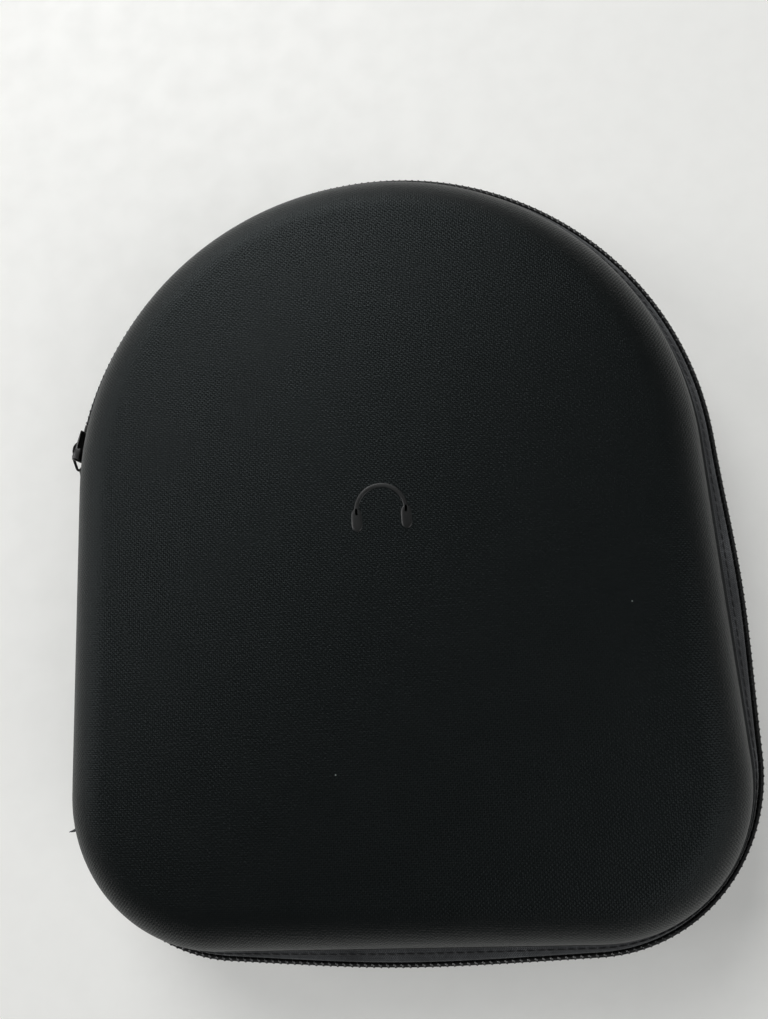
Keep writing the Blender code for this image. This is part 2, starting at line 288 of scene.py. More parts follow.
@dataclass(frozen=True)
class Solid:
    """A moulded, cast or drawn finish with a fine grain and worn, uneven gloss."""

    name: str
    slot: str
    colour: str
    worn: str
    grain: float
    relief: float
    roughness: float
    metallic: float = 0.0
    coat: float = 0.0
    coat_roughness: float = 0.2
    patches: float = 0.12  # worn patches to a grain
    wear: Pair = (0.38, 0.72)  # where wear starts and is full
    gloss: Pair = (-0.06, 0.1)  # roughness that wear takes and adds
    bump_strength: float = 0.5

    def material(self) -> bpy.types.Material:
        """Build the material: mottled colour, uneven roughness and a fine grain."""
        made, tree, shader = started(self.name, {
            "Metallic": self.metallic, "Coat Weight": self.coat, "Coat Roughness": self.coat_roughness})
        where = put(tree, "ShaderNodeTexCoord").outputs["Object"]
        grain = noise(tree, where, 1.0 / self.grain, 4.0)
        patches = noise(tree, where, self.patches / self.grain, 5.0)
        ramp = put(tree, "ShaderNodeValToRGB", {"Fac": patches})
        for stop, place, code in zip(ramp.color_ramp.elements, self.wear, (self.colour, self.worn)):
            stop.position = place
            stop.color = rgba(code)
        tree.links.new(ramp.outputs[0], shader.inputs["Base Color"])
        gloss = put(tree, "ShaderNodeMapRange",
                    {"Value": patches, "From Min": 0.3, "From Max": 0.7,
                     "To Min": self.roughness + self.gloss[0], "To Max": self.roughness + self.gloss[1]})
        tree.links.new(gloss.outputs[0], shader.inputs["Roughness"])
        bump = put(tree, "ShaderNodeBump",
                   {"Height": grain, "Strength": self.bump_strength, "Distance": self.relief})
        tree.links.new(bump.outputs[0], shader.inputs["Normal"])
        return made


# Polyester cover cloth, plain-woven and laminated to the foam: matt black, paler where it turns away.
# Its real threads are about 0.3 mm apart, too fine to show, so they are drawn at 0.55 mm.
COVER = Cloth("plain_woven_polyester_cover", "cover_fabric", "#121414", "#010202", 0.55 * MM,
              Weave.PLAIN, 0.2 * MM, roughness=0.42, sheen=0.0, gloss_tint="#d3e2e4", specular=0.24,
              lint=0.04)
# The same cloth pressed flat and fused by heat: smoother, with a dull shine.
PRESSED = Solid("heat_pressed_cover_cloth", "cover_fabric", "#080a0a", "#101313", 0.6 * MM, 0.03 * MM, 0.42)
# Tricot lining, knitted and brushed: a short dull pile.
LINING = Cloth("brushed_tricot_lining", "lining_fabric", "#3a3c3f", "#191a1c", 0.7 * MM,
               Weave.BRUSHED, 0.25 * MM, roughness=0.95, sheen=0.35)
# Grosgrain binding, woven with cross ribs: paler than the cover along the cut edge, partly its own tone and
# partly a painted highlight of the lit edge line.
BINDING_PAINTED_HIGHLIGHT = Cloth("grosgrain_painted_highlight_binding", "edge_binding", "#454748", "#161717", 0.7 * MM,
                Weave.TWILL, 0.15 * MM, roughness=0.75, sheen=0.25)
# Polyester zip tape, woven in herringbone ribs: charcoal, with a fine slanting grain.
TAPE = Cloth("herringbone_zip_tape", "zip_tape", "#75777a", "#2b2c2d", 0.6 * MM,
             Weave.HERRINGBONE, 0.15 * MM, roughness=0.8, sheen=0.2, mottle=0.5)
# The spine's twill, dyed black with the cover: dull, with a faint slanting rib.
SPINE_TWILL = Cloth("black_spine_twill", "zip_tape", "#222425", "#0c0d0d", 0.7 * MM,
                    Weave.TWILL, 0.1 * MM, roughness=0.8, sheen=0.1)
# Polyester sewing thread, twisted: dark, a little glossier than the tape.
THREAD = Solid("polyester_sewing_thread", "zip_tape", "#2c2d2e", "#393a3b", 0.3 * MM, 0.05 * MM, 0.55)
# The same thread dyed black, as the filler cord in the coils.
CORD = Solid("black_filler_cord", "zip_coil", "#060707", "#0d0e0e", 0.3 * MM, 0.05 * MM, 0.7)
# EVA foam board, moulded: dull dark grey with fine closed cells.
FOAM = Solid("moulded_eva_foam", "eva_foam", "#2b2c2e", "#37383a", 0.4 * MM, 0.08 * MM, 0.9)
# Nylon monofilament, drawn and coiled: black with small bright glints on each turn.
COIL = Solid("drawn_nylon_coil", "zip_coil", "#0b0c0c", "#191b1b", 0.5 * MM, 0.02 * MM, 0.3, coat=0.25)
# Die-cast zinc under baked enamel: dark grey, half gloss, a little worn in patches.
ENAMEL = Solid("enamelled_die_cast_zinc", "zip_metal", "#1b1b1b", "#343332", 0.6 * MM, 0.02 * MM, 0.36,
               metallic=0.45, coat=0.2)
# Moulded rubber grip: dark grey and dull, with a fine moulded grain.
RUBBER = Solid("moulded_pull_rubber", "pull_rubber", "#2a2c2d", "#3b3e3f", 0.5 * MM, 0.05 * MM, 0.6)


@dataclass(frozen=True)
class Station:
    """A place along an edge of the case: the point, the way out from it and the length so far."""

    point: Vector
    out: Vector
    run: float = 0.0


def towards(angle: float) -> Vector:
    """The flat direction at an angle in degrees."""
    return Vector((math.cos(math.radians(angle)), math.sin(math.radians(angle))))


def bow(half_angle: float, steps: int) -> list[Vector]:
    """Directions that turn evenly from minus to plus an angle in degrees."""
    return [towards(half_angle * (2.0 * k / steps - 1.0)) for k in range(steps + 1)]


def squared(value: float, power: float) -> float:
    """Square off a round section by raising a signed value to a power under one."""
    return math.copysign(abs(value) ** power, value)


def eased(part: float) -> float:
    """A smooth step from 0 to 1."""
    return part * part * (3.0 - 2.0 * part)


@dataclass
class Outline:
    """The D-shaped edge shared by both halves, measured from the frame's bindings and joints."""

    nose: float = 0.3 * MM
    corner_radius: float = 43.2 * MM
    arc_step: float = 1.5
    line_step: float = 4.0 * MM
    arch_stand_off: float = 4.4 * MM
    # Headings in degrees and how far the zip stands off there, in millimetres.
    bows: tuple[Pair, ...] = (
        (-141.0, 1.9), (-135.0, 1.9), (-90.0, 6.0), (-45.0, 3.1), (-12.0, 5.6), (16.0, 4.4))
    arch_centre: Vector = field(init=False)
    zip_height: float = field(init=False)
    arch_radius: float = field(init=False)
    corner: Vector = field(init=False)

    def __post_init__(self) -> None:
        """Read the driving sizes from the frame."""
        joints = {j["name"]: j for j in frame["record"]["behaviour"]["joints"]}
        turn = joints["zip_travel"]["pos_m"]
        low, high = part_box("lid_edge_binding")
        self.arch_centre = Vector(turn[:2])
        self.zip_height = turn[2]
        self.arch_radius = high[1] - self.nose - turn[1]
        self.corner = Vector((high[0] - self.nose - self.corner_radius,
                              low[1] + self.nose + self.corner_radius))

    @property
    def left_corner(self) -> Vector:
        """The lower left corner's centre."""
        return Vector((-self.corner.x, self.corner.y))

    @property
    def lean(self) -> float:
        """Direction in which the straight right side faces, in degrees."""
        across = self.corner - self.arch_centre
        slope = math.acos((self.arch_radius - self.corner_radius) / across.length)
        return math.degrees(math.atan2(across.y, across.x) + slope)

    def arc(self, centre: Vector, radius: float, start: float, end: float) -> list[Station]:
        """Stations along an arc of the outline."""
        count = max(1, math.ceil(abs(end - start) / self.arc_step))
        angles = [start + (end - start) * k / count for k in range(count + 1)]
        return [Station(centre + radius * towards(a), towards(a)) for a in angles]

    def line(self, before: Sequence[Station], after: Sequence[Station]) -> list[Station]:
        """Stations between the ends of two arcs that share a tangent."""
        first, last = before[-1], after[0]
        count = max(2, math.ceil((last.point - first.point).length / self.line_step))
        return [Station(first.point.lerp(last.point, k / count), first.out) for k in range(1, count)]

    def zip_side(self, start: float, end: float) -> list[Station]:
        """Stations from the arch, clockwise past the right side and foot, to the left corner.

        Args:
            start: where it starts, in degrees about the arch's centre.
            end: where it ends, in degrees about the left corner's centre.

        Returns:
            The stations, with no lengths yet.
        """
        arch = self.arc(self.arch_centre, self.arch_radius, start, self.lean)
        right = self.arc(self.corner, self.corner_radius, self.lean, -90.0)
        left = self.arc(self.left_corner, self.corner_radius, -90.0, end)
        return [*arch, *self.line(arch, right), *right, *self.line(right, left), *left]

    def spine_side(self, start: float, end: float) -> list[Station]:
        """Stations up the straight left side, from the left corner to the arch's foot."""
        corner = self.arc(self.left_corner, self.corner_radius, start, -180.0 - self.lean)
        arch = self.arc(self.arch_centre, self.arch_radius, 180.0 - self.lean, end)
        return [*corner, *self.line(corner, arch), *arch]

    def whole(self) -> list[Station]:
        """Stations all the way round, without the first again at the end."""
        round_side = self.zip_side(180.0 - self.lean, -180.0 - self.lean)
        return round_side + self.line(round_side[-1:], round_side[:1])

    def stand_off(self, point: Vector) -> float:
        """How far outside the outline the zip's outer face is, which bows out along each side.

        Args:
            point: a place on the outline.

        Returns:
            The distance in metres.
        """
        heading = math.degrees(math.atan2(point.y, point.x))
        if heading < self.bows[0][0] and point.y < 0.0:
            return self.bows[0][1] * MM
        for (start, near), (end, far) in zip(self.bows, self.bows[1:]):
            if start <= heading <= end:
                return (near + (far - near) * eased((heading - start) / (end - start))) * MM
        return self.arch_stand_off


def measured(stations: Sequence[Station], offset: Callable[[Vector], float]) -> list[Station]:
    """Give stations their length along a line that runs outside them by an offset."""
    places = [s.point + offset(s.point) * s.out for s in stations]
    runs = [0.0]
    for before, after in zip(places, places[1:]):
        runs.append(runs[-1] + (after - before).length)
    return [Station(s.point, s.out, run) for s, run in zip(stations, runs)]


def spaced(stations: Sequence[Station], step: float) -> list[Station]:
    """Stations at even lengths along a measured line.

    Args:
        stations: the measured line.
        step: the length between the new stations.

    Returns:
        The new stations, from the line's start to near its end.
    """
    made, k = [], 0
    for count in range(int(stations[-1].run / step) + 1):
        run = count * step
        while k < len(stations) - 2 and stations[k + 1].run < run:
            k += 1
        near, far = stations[k], stations[k + 1]
        part = (run - near.run) / (far.run - near.run)
        out = near.out.lerp(far.out, part).normalized()
        made.append(Station(near.point.lerp(far.point, part), out, run))
    return made


def picked(piece: Piece) -> None:
    """Select a piece alone and make it the active one."""
    bpy.ops.object.select_all(action="DESELECT")
    bpy.context.view_layer.objects.active = piece
    piece.select_set(True)


def lofted(name: str, rows: Sequence[Row], uvs: Sequence[Section] = (),
           joined: bool = False) -> Piece:
    """Shape a grid into a skin over rows of points, closed where its edges meet.

    Args:
        name: the new object's name.
        rows: the points of each row, all rows with the same count.
        uvs: the cloth map's place for each point, in metres, where the piece is woven.
        joined: whether the last row meets the first.

    Returns:
        The finished object, at the origin.
    """
    rows = [[*r, r[0]] for r in rows]
    uvs = [[*u, (2 * u[-1][0] - u[-2][0], 2 * u[-1][1] - u[-2][1])] for u in uvs]
    if joined:
        rows.append(rows[0])
        uvs += [[(2 * a[0] - b[0], 2 * a[1] - b[1]) for a, b in zip(uvs[-1], uvs[-2])]] if uvs else []
    wide = len(rows[0])
    bpy.ops.object.select_all(action="DESELECT")
    bpy.ops.mesh.primitive_grid_add(x_subdivisions=wide - 1, y_subdivisions=len(rows) - 1, size=1.0)
    piece = bpy.context.object
    piece.name = piece.data.name = name
    mesh = piece.data
    points = [c for row in rows for p in row for c in p]
    mesh.vertices.foreach_set("co", points)
    mesh.uv_layers[0].name = CLOTH_MAP
    if uvs:
        flat = [uv for line in uvs for uv in line]
        spots = [c for loop in mesh.loops for c in flat[loop.vertex_index]]
        mesh.uv_layers[0].data.foreach_set("uv", spots)
    mesh.update()
    bpy.ops.object.mode_set(mode="EDIT")
    bpy.ops.mesh.select_all(action="SELECT")
    bpy.ops.mesh.remove_doubles(threshold=WELD)
    if not joined:
        bpy.ops.mesh.select_all(action="DESELECT")
        bpy.ops.mesh.select_mode(type="EDGE")
        bpy.ops.mesh.select_non_manifold()
        bpy.ops.mesh.edge_face_add()
    bpy.ops.mesh.select_all(action="SELECT")
    bpy.ops.mesh.normals_make_consistent(inside=False)
    bpy.ops.object.mode_set(mode="OBJECT")
    bpy.ops.object.shade_smooth_by_angle(angle=SMOOTH)
    return piece


def bevelled(piece: Piece, width: float, segments: int = 3) -> Piece:
    """Round a piece's sharp edges and apply it."""
    bevel = piece.modifiers.new("round_edges", "BEVEL")
    bevel.width = width
    bevel.segments = segments
    bevel.limit_method = "ANGLE"
    bevel.angle_limit = CAST_SMOOTH
    picked(piece)
    bpy.ops.object.modifier_apply(modifier=bevel.name)
    return piece


def finished(piece: Piece, finish: Cloth | Solid, body: str, *nodes: str) -> Piece:
    """Dress a piece and give it to the body that it moves with.

    Args:
        piece: the piece, in place.
        finish: what it is made of.
        body: the body's name, or nothing where the piece is blended instead.
        nodes: the frame's nodes that it stands for.

    Returns:
        The piece.
    """
    material = bpy.data.materials.get(finish.name) or finish.material()
    piece.data.materials.clear()
    piece.data.materials.append(material)
    if body:
        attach(piece, body)
    if nodes:
        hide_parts(*nodes)
    LOG.info("%s: %d faces, %s", piece.name, len(piece.data.polygons), finish.name)
    return piece


@dataclass
class Shell:
    """One moulded half: cover cloth, foam board, lining and the binding over the cut edge."""

    outline: Outline
    half: Half
    edge: float = 6.0 * MM
    edge_inset: float = 0.6 * MM
    wall_inset: float = 1.8 * MM
    fillet: float = 14.9 * MM
    half_height: float = 22.5 * MM
    cloth: float = 0.9 * MM
    board: float = 2.8 * MM
    lining: float = 0.8 * MM
    crown: float = 0.7 * MM
    fillet_steps: int = 14
    crown_steps: int = 9
    middle_size: float = 0.03  # of the face, left as one flat cap
    binding_levels: Pair = (4.6 * MM, 5.7 * MM)
    binding_reach: Pair = (-5.3 * MM, -2.5 * MM)  # its inner edge and its fold
    roll_neck: float = 1.6  # from the nose, in half thicknesses
    roll_steps: int = 8

    def build(self) -> None:
        """Make the half's four pieces."""
        word = self.half.word
        board_depth = self.cloth + GAP
        lining_depth = board_depth + self.board + GAP
        finished(self.dish(f"{word}_cover_cloth", 0.0, self.cloth), COVER, word, f"{word}_outer_fabric")
        board = self.dish(f"{word}_board", board_depth, self.board)
        finished(board, FOAM, word, f"{word}_foam_board")
        finished(self.dish(f"{word}_inner_cloth", lining_depth, self.lining), LINING, word,
                 f"{word}_lining")
        finished(self.binding(), BINDING_PAINTED_HIGHLIGHT, word, f"{word}_edge_binding")

    def profile(self, depth: float) -> Section:
        """Inset and height along the wall at a depth under the outer face, edge first."""
        bend = self.half_height - self.fillet
        points = [(self.edge_inset + depth, self.edge)]
        for k in range(self.fillet_steps + 1):
            turn = math.pi / 2 * k / self.fillet_steps
            reach = self.fillet - depth
            points.append((self.wall_inset + self.fillet - reach * math.cos(turn),
                           bend + reach * math.sin(turn)))
        return points

    def face(self, depth: float) -> tuple[list[Row], list[Section]]:
        """Rows over one face of a layer, from the edge to the middle, with their cloth map.

        Args:
            depth: how deep the face lies under the half's outer face.

        Returns:
            The rows of points and the map's places.
        """
        outline = self.outline
        stations = outline.whole()
        section = self.profile(depth)
        inset_flat, top = section[-1]
        rows, uvs = [], []
        left = sum(math.dist(a, b) for a, b in zip(section, section[1:]))
        for k, (inset, height) in enumerate(section):
            level = outline.zip_height + self.half.value * height
            rows.append([Vector((*(s.point - inset * s.out), level)) for s in stations])
            spread = [s.point + (left - inset_flat) * s.out for s in stations]
            uvs.append([(p.x, p.y) for p in spread])
            if k + 1 < len(section):
                left -= math.dist(section[k], section[k + 1])
        crown = self.crown if self.half is Half.LID else 0.0
        middle = Vector((0.0, 0.25 * outline.arch_centre.y))
        for k in range(1, self.crown_steps + 1):
            shrink = 1.0 - (1.0 - self.middle_size) * k / self.crown_steps
            level = outline.zip_height + self.half.value * (top + crown * (1.0 - shrink ** 2))
            ring = [middle + shrink * (s.point - inset_flat * s.out - middle) for s in stations]
            rows.append([Vector((*p, level)) for p in ring])
            uvs.append([(p.x, p.y) for p in ring])
        return rows, uvs

    def dish(self, name: str, depth: float, thickness: float) -> Piece:
        """One layer of the half, a thin dish open towards the zip."""
        outer, outer_map = self.face(depth)
        inner, inner_map = self.face(depth + thickness)
        return lofted(name, [*outer[::-1], *inner], [*outer_map[::-1], *inner_map])

    def binding(self) -> Piece:
        """The woven strip over the cut edge, with a rolled nose that stands just proud."""
        (low, high), (inner, fold), nose = self.binding_levels, self.binding_reach, self.outline.nose
        middle, half = (low + high) / 2, (high - low) / 2
        neck = nose - self.roll_neck * half
        section = [(inner, high), (inner, low), (fold, low), (neck, low)]
        section += [(nose - half + half * a.x, middle + half * a.y) for a in bow(75.0, self.roll_steps)]
        section += [(neck, high), (fold, high)]
        return swept(self.outline, f"{self.half.word}_rim_binding",
                     measured(self.outline.whole(), lambda _: 0.0), lambda _: section,
                     self.half.value, joined=True)


def swept(outline: Outline, name: str, stations: Sequence[Station], section: Callable[[Station], Section],
          side: int, joined: bool = False) -> Piece:
    """Carry a section along measured stations.

    Args:
        outline: the case's outline, for the zip's height.
        name: the new object's name.
        stations: where the section stands.
        section: gives the (distance outwards, height from the zip) points at a station.
        side: +1 above the zip, -1 below it.
        joined: whether the line closes on itself.

    Returns:
        The finished object.
    """
    rows, uvs = [], []
    for station in stations:
        points = section(station)
        rows.append([Vector((*(station.point + across * station.out), outline.zip_height + side * height))
                     for across, height in points])
        girth, line = 0.0, []
        for k, point in enumerate(points):
            girth += math.dist(point, points[k - 1]) if k else 0.0
            line.append((station.run, girth))
        uvs.append(line)
    return lofted(name, rows, uvs, joined=joined)


@dataclass
class ZipHalf:
    """One half of the zip: tape, coil, sewing and the stops at both ends."""

    outline: Outline
    half: Half
    start: float
    end: float
    tape_end: float = -163.4
    pitch: float = 1.95 * MM
    wire: float = 0.42 * MM
    tape: float = 0.6 * MM
    tape_level: float = 3.7 * MM
    hem: float = -4.5 * MM
    coil_depth: float = 1.6 * MM
    coil_low: float = 0.1 * MM
    coil_high: float = 3.3 * MM
    turn_steps: int = 14
    bend: float = 1.0 * MM
    bend_steps: int = 5
    foot: float = 0.85 * MM
    turn_squareness: float = 0.8
    head: float = 0.22  # how much thicker the heads are
    wire_sides: int = 6
    cord_inset: float = 0.8  # wire radii between the coil's face and its cord
    stitch: float = 2.6 * MM
    stitch_steps: int = 8
    thread: float = 0.19 * MM
    thread_sides: int = 5
    thread_levels: Pair = (1.3, 2.0)  # how far it dips and rises, in its own radii
    seam_share: float = 0.33  # of the way out to the coil
    seam_past: float = 0.35 * MM
    stop_length: float = 2.2 * MM
    stop_inset: float = 0.3 * MM
    stop_foot: float = 0.55 * MM
    stop_rounding: float = 0.35 * MM

    def build(self) -> None:
        """Make the tape, the coil, its sewing and the two stops."""
        word = self.half.word
        line = self.outline.zip_side(self.start, self.end)
        tape = measured(self.outline.zip_side(self.start, self.tape_end), self.outline.stand_off)
        finished(self.make_tape(tape), TAPE, word, f"{word}_zip_tape")
        finished(self.make_coil(line), COIL, word, f"{word}_zip_coil")
        finished(self.make_core(line), CORD, word)
        finished(self.make_seam(line), THREAD, word)
        for name, centre, radius, first, last in self.stop_places():
            stop = self.make_stop(name, centre, radius, first, last)
            finished(stop, ENAMEL, word, name)

    def make_tape(self, line: Sequence[Station]) -> Piece:
        """The tape: out from under the binding, then round a soft bend to the back of the coil."""
        def section(station: Station) -> Section:
            face = self.outline.stand_off(station.point) - self.coil_depth - GAP
            top, thick = self.tape_level + self.tape, self.tape
            bend, foot = self.bend, self.foot
            shrunk = (bend - thick) / bend
            outside, inside = [], []
            for k in range(self.bend_steps + 1):
                turn = math.pi / 2 * k / self.bend_steps
                across, down = bend * math.sin(turn), bend * (1.0 - math.cos(turn))
                outside.append((face - bend + across, top - down))
                inside.append((face - bend + across * shrunk, top - thick - down * shrunk))
            return [(self.hem, top), (0.0, top), *outside, (face, foot), (face - thick, foot),
                    *inside[::-1], (0.0, top - thick), (self.hem, top - thick)]

        return swept(self.outline, f"{self.half.word}_tape", line, section, self.half.value)

    def make_coil(self, line: Sequence[Station]) -> Piece:
        """The coil: one wire wound in flat turns, thicker where its heads meet the other half."""
        outline, side = self.outline, self.half.value
        track = spaced(measured(line, lambda p: outline.stand_off(p) - self.coil_depth / 2),
                       self.pitch / self.turn_steps)
        shift = 0.0 if self.half is Half.LID else math.pi
        rows, power = [], self.turn_squareness
        high = (self.coil_high - self.coil_low) / 2 - self.wire
        deep = self.coil_depth / 2 - self.wire
        for k, station in enumerate(track):
            turn = 2.0 * math.pi * k / self.turn_steps + shift
            along = Vector((station.out.y, -station.out.x, 0.0))
            swing = Vector((squared(math.cos(turn), power), squared(math.sin(turn), power)))
            centre_out = outline.stand_off(station.point) - self.coil_depth / 2 + deep * swing.x
            centre_up = (self.coil_low + self.coil_high) / 2 + high * swing.y
            leading = Vector((math.cos(turn) * high, math.sin(turn) * deep)).normalized()
            head = 1.0 + self.head * max(0.0, -math.sin(turn)) ** 4
            row = []
            for corner in range(self.wire_sides):
                spot = self.wire * towards(360.0 * corner / self.wire_sides)
                place = station.point + (centre_out + spot.x * leading.x) * station.out
                up = outline.zip_height + side * (centre_up + spot.x * leading.y)
                row.append(Vector((*place, up)) + head * spot.y * along)
            rows.append(row)
        return lofted(f"{self.half.word}_coil", rows)

    def make_core(self, line: Sequence[Station]) -> Piece:
        """The filler cord inside the coil's turns, which shuts the gaps between them."""
        def section(station: Station) -> Section:
            middle = self.outline.stand_off(station.point) - self.coil_depth / 2
            inset = self.cord_inset * self.wire
            low, high = self.coil_low + self.wire, self.coil_high - inset
            half = self.coil_depth / 2 - inset
            round_end = half / 2
            return [(middle - half, low), (middle + half, low), (middle + half, high - round_end),
                    (middle + half - round_end, high), (middle - half + round_end, high),
                    (middle - half, high - round_end)]

        return swept(self.outline, f"{self.half.word}_coil_cord", measured(line, self.outline.stand_off),
                     section, self.half.value)

    def make_seam(self, line: Sequence[Station]) -> Piece:
        """One row of sewing along the tape, a third of the way out to the coil."""
        outline, side = self.outline, self.half.value
        thread, steps, rows = self.thread, self.stitch_steps, []
        dip, lift = self.thread_levels
        track = spaced(measured(line, lambda _: self.bend), self.stitch / steps)
        for k, station in enumerate(track):
            rise = math.sin(math.pi * (k % steps) / steps) ** 0.5
            up = self.tape_level + self.tape - dip * thread + lift * thread * rise
            across = self.seam_share * (outline.stand_off(station.point) - self.coil_depth) + self.seam_past
            row = []
            for corner in range(self.thread_sides):
                spot = thread * towards(360.0 * corner / self.thread_sides)
                place = station.point + (across + spot.x) * station.out
                row.append(Vector((*place, outline.zip_height + side * (up + spot.y))))
            rows.append(row)
        return lofted(f"{self.half.word}_tape_sewing", rows)

    def stop_places(self) -> list[tuple[str, Vector, float, float, float]]:
        """Name, arc and angles of the top stop and the end stop."""
        outline, length = self.outline, self.stop_length
        top = self.start + math.degrees(GAP / outline.arch_radius)
        end = self.end - math.degrees(GAP / outline.corner_radius)
        return [
            (f"{self.half.word}_zip_top_stop", outline.arch_centre, outline.arch_radius, top,
             top + math.degrees(length / outline.arch_radius)),
            (f"{self.half.word}_zip_end_stop", outline.left_corner, outline.corner_radius, end,
             end - math.degrees(length / outline.corner_radius)),
        ]

    def make_stop(self, name: str, centre: Vector, radius: float, first: float,
                  last: float) -> Piece:
        """A crimped stop with rounded edges."""
        def section(station: Station) -> Section:
            face = self.outline.stand_off(station.point)
            back, front = face - self.coil_depth, face - self.stop_inset
            low, high = self.stop_foot, self.coil_high
            return [(back, low), (front, low), (front, high), (back, high)]

        stations = measured(self.outline.arc(centre, radius, first, last), self.outline.stand_off)
        stop = swept(self.outline, f"{name}_clip", stations, section, self.half.value)
        return bevelled(stop, self.stop_rounding)


@dataclass
class Spine:
    """The fabric hinge on the left side and the folded end of the zip tape."""

    outline: Outline
    start: float = -168.6
    end: float = 172.4
    tape: float = 0.6 * MM
    level: float = 3.7 * MM
    hem: float = -4.5 * MM
    bulge: float = 0.9 * MM
    turned_in: float = -1.5 * MM
    roll: float = 1.6 * MM
    roll_angle: float = 80.0
    roll_steps: int = 16
    fold: float = 3.0 * MM
    fold_middle: float = -1.9 * MM
    fold_depth: float = 1.2 * MM
    fold_angle: float = 75.0
    fold_steps: int = 12
    # The lining's way from under the fold to the case's own lining.
    lining_edge: tuple[Pair, ...] = ((-5.2 * MM, 3.0 * MM), (-6.0 * MM, 4.0 * MM),
                                                    (-6.3 * MM, 5.6 * MM), (-7.4 * MM, 8.5 * MM))
    lining: float = 0.55 * MM
    tail_angle: float = -166.9
    tail_heading: float = -154.0
    tail_stand_off: float = 1.9 * MM
    tail_length: float = 4.2 * MM
    tail_half_height: float = 2.3 * MM
    tail_steps: int = 6
    tail_sides: int = 12

    def build(self) -> None:
        """Make the spine, its lining and the tape's tail."""
        for piece, finish, node in ((self.make_outside(), SPINE_TWILL, "spine_fabric"),
                                    (self.make_lining(), LINING, "spine_lining")):
            finished(piece, finish, "", node)
            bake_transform(piece)
        finished(self.make_tail(), TAPE, "base", "zip_tape_tail")

    def band(self, name: str, path: Section, thickness: float) -> Piece:
        """A strip of cloth of even thickness whose section follows a path.

        Args:
            name: the new object's name.
            path: the (distance outwards, height from the zip) points of its outer face.
            thickness: the cloth's thickness, to the right of the path.

        Returns:
            The strip.
        """
        back = []
        for k, (across, up) in enumerate(path):
            before, after = path[max(0, k - 1)], path[min(len(path) - 1, k + 1)]
            slope = Vector((after[0] - before[0], after[1] - before[1])).normalized()
            back.append((across + slope.y * -thickness, up + slope.x * thickness))
        stations = measured(self.outline.spine_side(self.start, self.end), lambda _: 0.0)
        return swept(self.outline, name, stations, lambda _: [*path, *back[::-1]], 1)

    def make_outside(self) -> Piece:
        """The outer strip, turned in under both bindings and bowed a little outwards."""
        high, under = self.level + self.tape, self.turned_in
        middle = self.bulge - 1.0 * MM
        top = towards(self.roll_angle).y
        path = [(self.hem, -high), (under, -high)]
        path += [(middle + self.roll * a.x, high * a.y / top)
                 for a in bow(self.roll_angle, self.roll_steps)]
        path += [(under, high), (self.hem, high)]
        return self.band("spine_outer_cloth", path, self.tape)

    def make_lining(self) -> Piece:
        """The lining inside the fold, turned up over the linings of both halves."""
        path = [(across, -up) for across, up in self.lining_edge[::-1]]
        path += [(self.fold_middle + self.fold_depth * a.x, self.fold * a.y)
                 for a in bow(self.fold_angle, self.fold_steps)]
        path += self.lining_edge
        return self.band("spine_inner_cloth", path, self.lining)

    def make_tail(self) -> Piece:
        """The folded, frayed end of the tape past the zip's lower end."""
        outline = self.outline
        low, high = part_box("zip_tape_tail")
        heading = towards(self.tail_heading)
        beside = Vector((-heading.y, heading.x))
        reach = outline.corner_radius + self.tail_stand_off
        root = outline.left_corner + reach * towards(self.tail_angle)
        middle = (low[2] + high[2]) / 2
        rows, uvs, sides = [], [], self.tail_sides
        for k in range(self.tail_steps + 1):
            part = k / self.tail_steps
            place = root + self.tail_length * part * heading + 0.35 * MM * math.sin(math.pi * part) * beside
            thick = MM * (1.0 - 0.8 * part) * (0.9 + 0.1 * math.cos(9.0 * part))
            tall = self.tail_half_height * (1.0 - 0.35 * part)
            spins = [towards(360.0 * corner / sides) for corner in range(sides)]
            rows.append([Vector((*(place + thick * a.x * beside), middle + tall * squared(a.y, 0.5)))
                         for a in spins])
            uvs.append([(self.tail_length * part, self.tape * corner) for corner in range(sides)])
        return lofted("tape_folded_end", rows, uvs)


